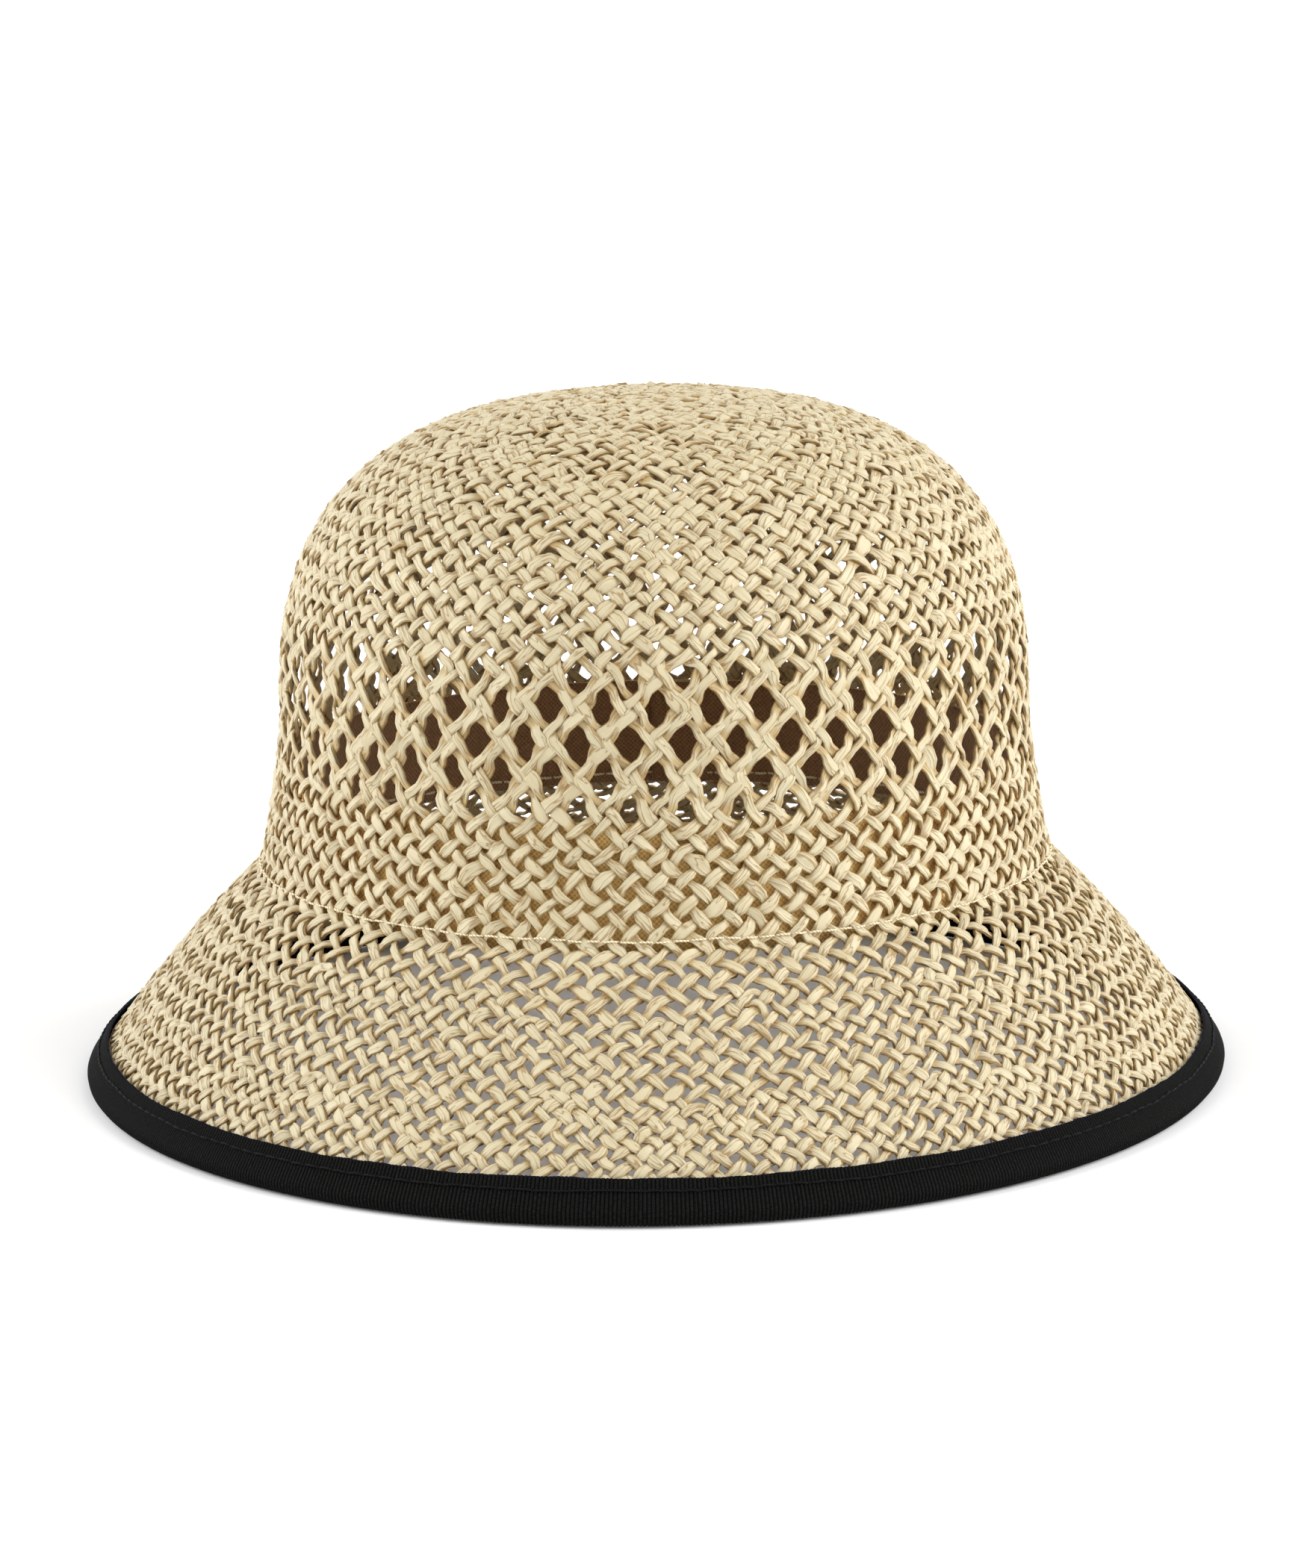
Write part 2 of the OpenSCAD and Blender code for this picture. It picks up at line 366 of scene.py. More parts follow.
def meeting(places, angle, toward, rate):
    """The first family's place nearest this angle, and the second's that meets it a ROOM_RAMP further on.

    toward is 1 where the second family's places come from higher angles, and -1 from lower ones.
    """
    i = int(np.nanargmin(np.abs(wrap(places[0] - angle))))
    lead = 2 * rate * ROOM_RAMP / PROFILE_STEP
    j = int(np.nanargmin((toward * (places[1] - places[0][i]) - lead) % TAU))
    return i, j


class Ring:
    """One family's strands in order round the hat, as the weave is followed up or down the hood.

    share is the room that each strand takes, 1 once it has settled in. spare is extra room after it.
    """

    def __init__(self):
        self.rows = list(range(WALL_STRANDS))
        self.angles = TAU * (np.arange(WALL_STRANDS) - 0.5) / WALL_STRANDS
        self.share, self.share_goal = np.ones(WALL_STRANDS), np.ones(WALL_STRANDS)
        self.spare, self.spare_goal = np.zeros(WALL_STRANDS), np.zeros(WALL_STRANDS)

    def middles(self):
        """The middle of the gap after each strand."""
        return (self.angles + np.append(self.angles[1:], self.angles[0] + TAU)) / 2

    def move(self, turn):
        """Turn every strand, then let neighbours share out the room between them."""
        change = 0.5 * PROFILE_STEP / ROOM_RAMP
        self.share += np.clip(self.share_goal - self.share, -change, change)
        self.spare += np.clip(self.spare_goal - self.spare, -change, change)
        wanted = (self.share + np.roll(self.share, -1)) / 2 + self.spare
        after = (np.append(self.angles[1:], self.angles[0] + TAU) - self.angles) / wanted
        push = (after - np.roll(after, 1)) / (1 / wanted + 1 / np.roll(wanted, 1))
        self.angles = self.angles + turn + SETTLING * PROFILE_STEP * push

    def insert(self, at, row, angle):
        self.rows.insert(at + 1, row)
        self.angles = np.insert(self.angles, at + 1, angle)
        self.share = np.insert(self.share, at + 1, 0.5)
        self.share_goal = np.insert(self.share_goal, at + 1, 1.0)
        self.spare[at] = self.spare_goal[at] = 0
        self.spare = np.insert(self.spare, at + 1, 0.0)
        self.spare_goal = np.insert(self.spare_goal, at + 1, 0.0)

    def remove(self, at):
        self.rows.pop(at)
        self.angles = np.delete(self.angles, at)
        self.share, self.share_goal = np.delete(self.share, at), np.delete(self.share_goal, at)
        self.spare, self.spare_goal = np.delete(self.spare, at), np.delete(self.spare_goal, at)
        self.spare[at - 1] = 0.5


class Weave:
    """Two families of strands that run down the hood, one turning each way.

    angle[f] holds a row for each strand of family f, by profile step, and is empty where it doesn't run.
    Strands come and go in pairs: the two are one strand, folded in half at an apex.
    """

    def __init__(self):
        steps = len(hood.s)
        self.angle = [np.full((2 * WALL_STRANDS, steps), np.nan) for _ in range(2)]
        self.apexes = []
        low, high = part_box("lattice_band")[0][2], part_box("lattice_band")[1][2]
        # The openwork's box reaches past its edges by about half the straw's thickness.
        inset = 0.6 * STRAW_T
        self.band_top, self.band_end = hood.s_at(high - inset), hood.s_at(low + inset)
        self.middle_s = hood.s_at((low + high) / 2)
        self.middle = int(np.searchsorted(hood.s, self.middle_s))
        in_band = self.band(PAIRING_RAMP)
        plain = 1 / (math.tan(SLOPE) * hood.mean_r)
        openwork = TAU / WALL_STRANDS / LATTICE_ROW
        self.rate = PROFILE_STEP * (plain + (openwork - plain) * in_band)
        self.lay_down()
        self.lay_up()
        self.pair_up(in_band)

    def band(self, ramp):
        """1 inside the openwork, 0 outside it."""
        return smooth((hood.s - self.band_top) / ramp) * smooth((self.band_end - hood.s) / ramp)

    def node_phase(self, s):
        """1 level with the openwork's nodes, 0 halfway between them."""
        return (1 + np.cos(TAU * (s - self.middle_s) / LATTICE_ROW)) / 2

    def record(self, step, rings):
        """Note where every strand is at this step of the profile."""
        for f in range(2):
            self.angle[f][rings[f].rows, step] = rings[f].angles

    def additions(self):
        """(s, angle) of each strand added in the brim: two rounds, spread evenly with some scatter."""
        places = []
        for down, number in BRIM_ROUNDS:
            for k in range(number):
                angle = TAU * (k + rng.uniform(-0.3, 0.3)) / number
                stray = rng.uniform(-1, 1) * ROUND_SCATTER
                places.append((hood.head_s + down + stray - ROOM_RAMP, angle))
        return sorted(places)

    def lay_down(self):
        """Follow the strands from the openwork to the brim's edge, adding new ones on the way."""
        rings = [Ring(), Ring()]
        self.record(self.middle, rings)
        coming, waiting = self.additions(), []
        new_row = WALL_STRANDS
        end = int(np.searchsorted(hood.s, hood.length - EDGE_CUT))
        for step in range(self.middle + 1, end):
            for ring, turn in zip(rings, (-1, 1)):
                ring.move(turn * self.rate[step])
            while coming and coming[0][0] <= hood.s[step]:
                waiting.append(self.choose_gaps(coming.pop(0)[1], rings, self.rate[step]))
            for gaps in list(waiting):
                at = [ring.rows.index(row) for ring, row in zip(rings, gaps)]
                mids = [ring.middles()[i] for ring, i in zip(rings, at)]
                if wrap(mids[1] - mids[0]) >= 0:
                    waiting.remove(gaps)
                    for f in range(2):
                        rings[f].insert(at[f], new_row, mids[f])
                    self.apexes.append((new_row, new_row, step))
                    new_row += 1
            self.record(step, rings)

    @staticmethod
    def choose_gaps(angle, rings, rate):
        """The two families' gaps near this angle that meet once room has been made for a new strand."""
        middles = [np.where(ring.spare_goal > 0, np.nan, ring.middles()) for ring in rings]
        i, j = meeting(middles, angle, -1, rate)
        rings[0].spare_goal[i] = rings[1].spare_goal[j] = 0.5
        return rings[0].rows[i], rings[1].rows[j]

    def lay_up(self):
        """Follow the strands from the openwork up to the tip, where fewer and fewer fit."""
        rings = [Ring(), Ring()]
        waiting, turn_on = [], 0.0
        golden = TAU * (math.sqrt(5) - 1) / 2
        step = self.middle
        ahead = int(ROOM_RAMP / PROFILE_STEP)
        while hood.r[step] > CENTRE_R:
            step -= 1
            for ring, turn in zip(rings, (1, -1)):
                ring.move(turn * self.rate[step])
            soon_r = hood.mean_r[max(step - ahead, 0)]
            way_out = soon_r / hood.mean_r[self.middle]
            wanted = TAU * soon_r / np.interp(way_out, [0.1, 0.95], [TIP_PITCH, SHOULDER_PITCH])
            while len(rings[0].rows) - len(waiting) > max(wanted, FEWEST_STRANDS):
                turn_on += golden
                waiting.append(self.choose_pair(turn_on, rings, self.rate[step]))
            for pair in list(waiting):
                at = [ring.rows.index(row) for ring, row in zip(rings, pair)]
                if wrap(rings[1].angles[at[1]] - rings[0].angles[at[0]]) <= 0:
                    waiting.remove(pair)
                    self.apexes.append((*pair, step + 1))
                    for f in range(2):
                        rings[f].remove(at[f])
            self.record(step, rings)

    @staticmethod
    def choose_pair(angle, rings, rate):
        """The two strands near this angle that meet when their neighbours have closed up round them."""
        free = [np.where(ring.share_goal < 1, np.nan, ring.angles) for ring in rings]
        i, j = meeting(free, angle, 1, rate)
        rings[0].share_goal[i] = rings[1].share_goal[j] = 0.5
        return rings[0].rows[i], rings[1].rows[j]

    def pair_up(self, in_band):
        """Move each strand towards its partner in the openwork.

        They are closest halfway between nodes and furthest apart a quarter of a row from them. Both families
        turn less at the nodes, which gives the openings their upright sides.
        """
        turn = TAU * (hood.s - self.middle_s) / LATTICE_ROW
        ends = (NODE_SHIFT + STRIP_SHIFT) / 4
        shift = ends + SIDE_SHIFT / 2 + (NODE_SHIFT - STRIP_SHIFT) / 2 * np.cos(turn)
        shift += (ends - SIDE_SHIFT / 2) * np.cos(2 * turn)
        for f, side in enumerate((1, -1)):
            delay = side * UPRIGHT * np.sin(turn)
            for row in range(WALL_STRANDS):
                move = delay + shift * (1 if row % 2 == 0 else -1)
                self.angle[f][row] += move * TAU / WALL_STRANDS * in_band

    def crossings(self):
        """First-family strand, second-family strand and s, one row for each crossing, from the top down."""
        found = []
        for i, track in enumerate(self.angle[0]):
            turns = (self.angle[1] - track) / TAU
            whole = np.floor(turns)
            with np.errstate(invalid="ignore"):
                j, step = np.nonzero(whole[:, 1:] > whole[:, :-1])
            before, after = turns[j, step], turns[j, step + 1]
            part = (whole[j, step + 1] - before) / (after - before)
            found.append(np.stack([np.full(len(j), i), j, hood.s[step] + part * PROFILE_STEP], 1))
        found = np.concatenate(found)
        return found[np.argsort(found[:, 2])]

    def widths(self):
        """The strands' usual width along the profile."""
        dome_s = hood.s_at(hood.head_z + 85 * MM)
        marks = [(0, TIP_W), (dome_s, DOME_W), (self.band_top - 8 * MM, WALL_W),
                 (self.band_end, BASE_W), (hood.head_s, BASE_W), (hood.head_s + 20 * MM, BRIM_W)]
        plain = np.interp(hood.s, *zip(*marks))
        openwork = STRIP_W + (NODE_W - STRIP_W) * self.node_phase(hood.s)
        return plain + (openwork - plain) * self.band(WIDTH_RAMP)

    def pinches(self):
        """The share of width that strands lose between crossings, along the profile."""
        return PINCH + (OPENWORK_PINCH - PINCH) * self.band(WIDTH_RAMP)


def crossing_lists(cross):
    """For each family, the crossings along each strand, from the top down."""
    lists = [{}, {}]
    for number, (i, j, _) in enumerate(cross):
        lists[0].setdefault(int(i), []).append(number)
        lists[1].setdefault(int(j), []).append(number)
    return lists


def over_under(cross, lists):
    """1 where the first family's strand is on top, else -1, alternating along every strand."""
    near = [[] for _ in cross]
    for family in lists:
        for run in family.values():
            for a, b in zip(run, run[1:]):
                near[a].append(b)
                near[b].append(a)
    side = np.zeros(len(cross), int)
    for seed in range(len(cross)):
        if side[seed]:
            continue
        side[seed] = 1
        stack = [seed]
        while stack:
            a = stack.pop()
            for b in near[a]:
                if not side[b]:
                    side[b] = -side[a]
                    stack.append(b)
    return side


class Strands:
    """Follows each strand through its crossings."""

    def __init__(self, weave):
        self.weave = weave
        self.cross = weave.crossings()
        self.lists = crossing_lists(self.cross)
        self.side = over_under(self.cross, self.lists)
        number = len(self.cross)
        radius = np.interp(self.cross[:, 2], hood.s, hood.mean_r)
        self.shake_angle = np.clip(rng.normal(0, SHAKE, number), -2 * SHAKE, 2 * SHAKE) / radius
        self.shake_s = np.clip(rng.normal(0, 0.8 * SHAKE, number), -1.5 * SHAKE, 1.5 * SHAKE)
        self.wide = [self.widenings(number) for _ in range(2)]

    @staticmethod
    def widenings(number):
        return np.clip(rng.normal(1, WIDTH_SCATTER, number), LEAST_WIDE, MOST_WIDE)

    def arm(self, f, row, start_lift):
        """A strand from its upper end down, as rows of angle, s, lift and relative width.

        Lift is 1 where the strand is on top of another and -1 where it is below one.
        """
        track = self.weave.angle[f][row]
        runs = np.nonzero(~np.isnan(track))[0]
        numbers = self.lists[f].get(row, [])
        lift = self.side[numbers] * (1 if f == 0 else -1)
        ends = [0.0]
        knots = np.stack([
            np.concatenate([hood.s[runs[:1]], self.cross[numbers, 2], hood.s[runs[-1:]]]),
            np.concatenate([ends, self.shake_angle[numbers], ends]),
            np.concatenate([ends, self.shake_s[numbers], ends]),
            np.concatenate([[start_lift], lift, ends]),
            np.concatenate([[1.0], self.wide[f][numbers], [1.0]])], 1)
        t = (np.arange(SAMPLES) / SAMPLES)[None, :, None]
        passing = 0.5 - 0.5 * np.tanh(FLOAT * np.cos(math.pi * t)) / math.tanh(FLOAT)
        gone = np.concatenate([t, smooth(t), smooth(t), passing, passing], 2)
        line = knots[:-1, None] + gone * (knots[1:, None] - knots[:-1, None])
        s = np.append(line[..., 0].ravel(), knots[-1, 0])
        rest = np.vstack([line[..., 1:].reshape(-1, 4), knots[-1:, 1:]])
        angle = np.interp(s, hood.s[runs], track[runs])
        return np.stack([angle + rest[:, 0], s + rest[:, 1], rest[:, 2], rest[:, 3]], 1)

    def folded(self, first, second):
        """One strand folded in half: up one half, round the fold and down the other."""
        a, b = self.arm(0, first, 0.0), self.arm(1, second, 0.0)
        b[:, 0] += TAU * round((a[0, 0] - b[0, 0]) / TAU)
        for half in (a, b):
            away = half[:, 1] - half[0, 1]
            round_off = np.sqrt(away ** 2 + FOLD_R ** 2) - 0.5 * FOLD_R
            side = 1 if half[-1, 1] > half[0, 1] else -1
            half[:, 1] = half[0, 1] + side * np.where(np.abs(away) < 4 * FOLD_R, round_off, np.abs(away))
        return np.vstack([b[:0:-1], a])

    def paths(self):
        """Each whole strand: the folded ones, then those that run from the tip patch to the edge."""
        joined = [{apex[f] for apex in self.weave.apexes} for f in range(2)]
        paths = [self.folded(first, second) for first, second, _ in self.weave.apexes]
        for f in range(2):
            for row in range(WALL_STRANDS):
                if row not in joined[f]:
                    paths.append(self.arm(f, row, TUCKED))
        return paths


# ---------------------------------------- swept meshes

def run_length(points):
    """How far along a line of points each of them is."""
    return np.concatenate([[0], np.cumsum(np.linalg.norm(np.diff(points, axis=0), axis=1))])


def unit(vectors):
    return vectors / np.linalg.norm(vectors, axis=-1, keepdims=True)


def tube_faces(along, across, closed=False):
    """A tube's faces as corner numbers, corners per face and UVs, with caps on its ends unless it is closed.

    along and across are the UVs at its rings and sides, with one value more for each way that closes.
    """
    sides, spans = len(across) - 1, len(along) - 1
    rings = spans if closed else spans + 1
    i, j = np.divmod(np.arange(spans * sides), sides)
    ahead, beside = (i + 1) % rings, (j + 1) % sides
    quads = np.stack([i * sides + j, i * sides + beside, ahead * sides + beside, ahead * sides + j], 1)
    u = np.stack([along[i], along[i], along[i + 1], along[i + 1]], 1)
    v = np.stack([across[j], across[j + 1], across[j + 1], across[j]], 1)
    loops = [quads.ravel()]
    counts = [np.full(len(quads), 4)]
    uvs = [np.stack([u, v], -1).reshape(-1, 2)]
    if not closed:
        cap = np.arange(sides)
        loops += [cap[::-1], (rings - 1) * sides + cap]
        counts.append(np.full(2, sides))
        uvs += 2 * [np.stack([np.full(sides, along[0]), across[:-1]], 1)]
    return np.concatenate(loops), np.concatenate(counts), np.concatenate(uvs)


class Sweep:
    """Collects strands as tubes of one mesh, with each strand's own UVs and marks."""

    def __init__(self, sides):
        turn = TAU * np.arange(sides) / sides
        self.sides = sides
        self.flat_x = np.sign(np.cos(turn)) * np.abs(np.cos(turn)) ** EDGE_POWER
        self.flat_y = np.sign(np.sin(turn)) * np.abs(np.sin(turn)) ** FACE_POWER
        self.points, self.marks = [], []
        self.loops, self.counts, self.uvs = [], [], []

    def add(self, centre, normal, half_w, half_t, lift, tone, skin=1.0, tilt=0.0, closed=False):
        """Sweep the section along centre. skin is its size at each point, tilt its turn about the line."""
        side, up = self.axes(centre, normal, tilt, closed)
        x = self.flat_x[None] * half_w[:, None] * skin
        y = self.flat_y[None] * half_t[:, None] * skin
        ring = centre[:, None] + side[:, None] * x[..., None] + up[:, None] * y[..., None]
        along = run_length(centre)
        if closed:
            along = np.append(along, along[-1] + np.linalg.norm(centre[0] - centre[-1]))
        across = np.arange(self.sides + 1) / self.sides
        loops, counts, uvs = tube_faces(along + tone * PATTERN_SHIFT, across, closed)
        self.loops.append(loops + sum(len(points) for points in self.points))
        self.counts.append(counts)
        self.uvs.append(uvs)
        self.points.append(ring.reshape(-1, 3))
        self.marks.append(self.mark(tone, lift))

    @staticmethod
    def axes(centre, normal, tilt, closed):
        """The section's two directions at each ring."""
        if closed:
            along = unit(np.roll(centre, -1, 0) - np.roll(centre, 1, 0))
        else:
            along = unit(np.gradient(centre, axis=0))
        side = unit(np.cross(along, normal))
        up = np.cross(side, along)
        turn = np.broadcast_to(tilt, len(centre))[:, None]
        c, d = np.cos(turn), np.sin(turn)
        return side * c + up * d, up * c - side * d

    def mark(self, tone, lift):
        """Tone, lift and nearness to the strand's edge, for the material, which paints shade from the lift
        and the edge.
        """
        mark = np.ones((len(lift), self.sides, 4))
        mark[..., 0] = tone
        mark[..., 1] = 0.5 + 0.5 * lift[:, None]
        mark[..., 2] = np.abs(self.flat_x)[None]
        return mark.reshape(-1, 4)

    def piece(self, name, material):
        parts = (self.points, self.loops, self.counts, self.uvs, self.marks)
        return mesh_piece(name, *(np.concatenate(part) for part in parts), material)


def mesh_piece(name, points, loops, counts, uvs, marks, material):
    mesh = bpy.data.meshes.new(name)
    mesh.vertices.add(len(points))
    mesh.vertices.foreach_set("co", points.astype(np.float32).ravel())
    mesh.loops.add(len(loops))
    mesh.loops.foreach_set("vertex_index", loops.astype(np.int32))
    mesh.polygons.add(len(counts))
    starts = np.concatenate([[0], np.cumsum(counts)[:-1]])
    mesh.polygons.foreach_set("loop_start", starts.astype(np.int32))
    mesh.polygons.foreach_set("use_smooth", np.ones(len(counts), bool))
    mesh.update(calc_edges=True)
    along = mesh.uv_layers.new(name="along")
    along.data.foreach_set("uv", uvs.astype(np.float32).ravel())
    strand = mesh.attributes.new("strand", "FLOAT_COLOR", "POINT")
    strand.data.foreach_set("color", marks.astype(np.float32).ravel())
    mesh.materials.append(material)
    piece = bpy.data.objects.new(name, mesh)
    bpy.context.scene.collection.objects.link(piece)
    return piece


def finish_piece(piece, slot, *nodes):
    """Put the piece on the body that it rides on and hide the CAD nodes that it stands for. slot is not used.
    """
    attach(piece, "root")
    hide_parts(*nodes)


def slow_noise(count, width):
    """Random values with a spread of 1 that change slowly, over about width of them."""
    total = np.cumsum(np.append(0, rng.normal(0, 1, count + 2 * width)))
    return ((total[width:] - total[:-width]) / math.sqrt(width))[:count]


# ---------------------------------------- straw

def creases(rings):
    """Folds pressed into a strand's skin: grooves that run along it and wander slowly round it."""
    turn = TAU * np.arange(SECTION_SIDES) / SECTION_SIDES
    skin = np.zeros((rings, SECTION_SIDES))
    for _ in range(GROOVES):
        drift = np.cumsum(GROOVE_DRIFT * slow_noise(rings, 10))
        centre = rng.uniform(0, TAU) + drift
        depth = np.clip(GROOVE_DEPTH + GROOVE_CHANGE * slow_noise(rings, 8), 0, DEEPEST_GROOVE)
        away = wrap(turn[None] - centre[:, None])
        skin -= depth[:, None] * np.exp(-(away / GROOVE_W) ** 2)
    lean = LOPSIDED * slow_noise(rings, 9)
    skin += lean[:, None] * np.cos(turn)[None]
    return 1 + skin - skin.mean() + GRIT * rng.normal(0, 1, skin.shape)


def add_strand(sweep, path, width, pinch):
    """Sweep one strand of the weave: narrower between crossings, and flatter on top of and below others."""
    n = len(path)
    angle, s, lift, wide = path.T
    centre, normal = hood.points(angle, s, OVER * lift)
    own = rng.uniform(0.90, 1.10)
    wander = np.clip(1 + WANDER * slow_noise(n, 12), 0.8, 1.2)
    over = np.clip(lift, -1, 1)
    bulge = 1 - np.interp(s, hood.s, pinch) * (1 - over ** 2)
    half_w = np.interp(s, hood.s, width) / 2 * own * wander * wide * bulge
    half_t = STRAND_T / 2 * (1.12 - 0.22 * over ** 2) / np.sqrt(wide)
    tilt = TILT * slow_noise(n, 8)
    tone = rng.uniform(0, 1)
    sweep.add(centre, normal, half_w, half_t, over, tone, creases(n), tilt)


def piece_groups(paths):
    """Neighbouring strands in groups that fit into one piece each."""
    groups, rings = [[]], 0
    for path in paths:
        if rings + len(path) > RINGS_PER_PIECE:
            groups.append([])
            rings = 0
        groups[-1].append(path)
        rings += len(path)
    return groups


def build_straw(material):
    weave = Weave()
    width, pinch = weave.widths(), weave.pinches()
    paths = Strands(weave).paths()
    paths.sort(key=lambda path: path[np.argmin(path[:, 1]), 0] % TAU)
    for number, group in enumerate(piece_groups(paths), 1):
        sweep = Sweep(SECTION_SIDES)
        for path in group:
            add_strand(sweep, path, width, pinch)
        piece = sweep.piece(f"straw_weave_{number}", material)
        finish_piece(piece, "straw", *STRAW_NODES)


def add_patch_strand(sweep, k, along_x):
    """Sweep the patch's strand number k, over and under those of the other direction."""
    place = k - (PATCH_STRANDS - 1) / 2
    line = place * PATCH_PITCH
    half = math.sqrt((CENTRE_R + PATCH_OVERLAP) ** 2 - line ** 2)
    run = np.linspace(-half, half, SAMPLES * PATCH_STRANDS)
    x, y = (run, np.full_like(run, line)) if along_x else (np.full_like(run, line), run)
    phase = run / PATCH_PITCH + (PATCH_STRANDS - 1) / 2
    lift = np.cos(math.pi * (phase + k)) * (1 if along_x else -1)
    y = y / (hood.head_l / hood.head_r)
    angle, s = np.arctan2(y, x), np.interp(np.hypot(x, y), hood.r, hood.s)
    centre, normal = hood.points(angle, s, OVER * (lift + PATCH_RISE))
    half_w = PATCH_W / 2 * (1 + 0.05 * slow_noise(len(run), 5))
    half_t = np.full(len(run), STRAND_T / 2)
    tone = rng.uniform(0, 1)
    sweep.add(centre, normal, half_w, half_t, lift, tone, creases(len(run)))


def build_tip_patch(material):
    """The plain square that the weaving starts from, over the inner ends of the strands."""
    sweep = Sweep(SECTION_SIDES)
    for along_x in (False, True):
        for k in range(PATCH_STRANDS):
            add_patch_strand(sweep, k, along_x)
    finish_piece(sweep.piece("straw_tip_patch", material), "straw", "crown_top")


# ---------------------------------------- trims

def grid_piece(name, rows, marks, material):
    """A closed skin over rows of points that go round its section, with capped ends."""
    grid = np.stack(rows, 1)
    across = run_length(np.vstack([grid[0], grid[0, :1]]))
    loops, counts, uvs = tube_faces(run_length(grid[:, 0]), across)
    return mesh_piece(name, grid.reshape(-1, 3), loops, counts, uvs, marks.reshape(-1, 4), material)


def oval_length(s):
    return run_length(hood.points(np.linspace(0, TAU, 721), s)[0])[-1]


def even_angles(s, columns, lap):
    """Angles at even steps of length round the hat from its back, running on past the start by lap.

    Also how far along each is, and the length of one whole round.
    """
    angle = np.linspace(math.pi / 2, math.pi / 2 + TAU * 1.1, 2000)
    length = run_length(hood.points(angle, s)[0])
    whole = np.interp(math.pi / 2 + TAU, angle, length)
    done = np.linspace(0, whole + lap, columns)
    return np.interp(done, length, angle), done, whole


def lap_rise(done, whole, before, ramp, thickness):
    """How far a trim's end is lifted so that it lies over its start."""
    return smooth((done - whole + before) / ramp) * (thickness + LAP_EASE)


def ribbon_leg(angle, s_edge, out, wave):
    """One leg's rows from its free edge down to the fold, this far out from the straw's middle."""
    rows = []
    for share in RIBBON_ROWS:
        stray = wave if share == 1 else 0
        rows.append(hood.points(angle, s_edge - share * RIBBON_LEG - stray, out)[0])
    return rows


def ribbon_fold(angle, s_edge, out):
    """Rows round the fold, from the outer leg to the inner one."""
    middle, normal = hood.points(angle, s_edge)
    down = unit(middle - hood.points(angle, s_edge - 1 * MM)[0])
    rows = []
    for turn in np.linspace(0, math.pi, 7)[1:-1]:
        rows.append(middle + out[:, None] * (math.cos(turn) * normal + math.sin(turn) * down))
    return rows


def build_binding(material):
    """Grosgrain folded over the brim's edge and the wire, ribbed across its width."""
    s_edge = hood.length - PROFILE_STEP
    ribs = int(round((oval_length(s_edge) + RIBBON_LAP) / RIB_PITCH))
    columns = len(RIB_PROFILE) * ribs + 1
    angle, done, whole = even_angles(s_edge, columns, RIBBON_LAP)
    lapped = lap_rise(done, whole, 2 * MM, 2.5 * MM, RIBBON_T)
    ridge = np.array(RIB_PROFILE)[np.arange(columns) % len(RIB_PROFILE)]
    wave = RIPPLE * slow_noise(columns, 60)
    face = RIBBON_FACE + lapped + RIB_H * (ridge - 1)
    outer = ribbon_leg(angle, s_edge, face, wave)
    outer += ribbon_fold(angle, s_edge, face)
    outer += ribbon_leg(angle, s_edge, -face, wave)[::-1]
    back = RIBBON_FACE - RIBBON_T + lapped
    inner = ribbon_leg(angle, s_edge, back, wave)[::4]
    inner += ribbon_fold(angle, s_edge, back)[::2]
    inner += ribbon_leg(angle, s_edge, -back, wave)[::-4]
    rows = outer + inner[::-1]
    marks = np.ones((columns, len(rows), 4))
    # The rib height, which the material turns into painted shade in the valleys between ribs.
    marks[..., 0] = ridge[:, None]
    marks[..., 2] = 0
    selvedges = [0, len(outer) - 1, len(outer), -1]
    marks[:, selvedges, 2] = 1
    piece = grid_piece("edge_binding_ribbon", rows, marks, material)
    finish_piece(piece, "grosgrain", "edge_binding")


def band_face(angle, depth, ripple):
    """Rows of one face of the webbing, from its top down. The lowest hangs straight below the one above."""
    low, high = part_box("sweatband")
    top_s, low_s = hood.s_at(high[2]), hood.head_s
    rows = []
    for s in np.linspace(top_s, low_s, BAND_ROWS)[:-1]:
        inward = depth + ripple * (low_s - s) / (low_s - top_s)
        rows.append(hood.points(angle, s, -inward)[0])
    hem = rows[-1].copy()
    hem[:, 2] = low[2] + 0.2 * MM
    return rows + [hem]


def build_sweatband(material):
    """Webbing sewn in at the head line, its ends lapped at the back."""
    angle, done, whole = even_angles(hood.head_s, BAND_COLUMNS, BAND_LAP)
    lapped = lap_rise(done, whole, 3 * MM, 4 * MM, BAND_T)
    ripple = RIPPLE * slow_noise(BAND_COLUMNS, 24)
    outside = band_face(angle, STRAW_T / 2 + BAND_GAP + lapped, ripple)
    inside = band_face(angle, STRAW_T / 2 + BAND_GAP + BAND_T + lapped, ripple)
    marks = np.ones((BAND_COLUMNS, 2 * BAND_ROWS, 4))
    # The inside face's rows are marked 0, and the material darkens them brown as painted shade.
    marks[:, BAND_ROWS:, 0] = 0
    piece = grid_piece("sweatband_webbing", outside + inside[::-1], marks, material)
    finish_piece(piece, "webbing", "sweatband")


def build_stitches(name, s, off, dip, thread_w, material, slot, node):
    """Lock stitches round the hat: the thread shows in short arcs and dips in at each needle hole."""
    stitches = int(round(oval_length(s) / STITCH))
    n = stitches * STITCH_STEPS
    angle = even_angles(s, n + 1, 0.0)[0][:-1]
    arc = np.abs(np.sin(math.pi * np.arange(n) / STITCH_STEPS)) ** 0.5
    side = 1 if off > 0 else -1
    waver = RIPPLE * slow_noise(n, 20)
    centre, normal = hood.points(angle, s + waver, off - side * dip * (1 - arc))
    plump = 0.75 + 0.25 * arc
    sweep = Sweep(THREAD_SIDES)
    sweep.add(centre, normal, thread_w / 2 * plump, thread_w / 2 * 0.9 * plump, 2 * arc - 1, 0.5, closed=True)
    finish_piece(sweep.piece(name, material), slot, node)


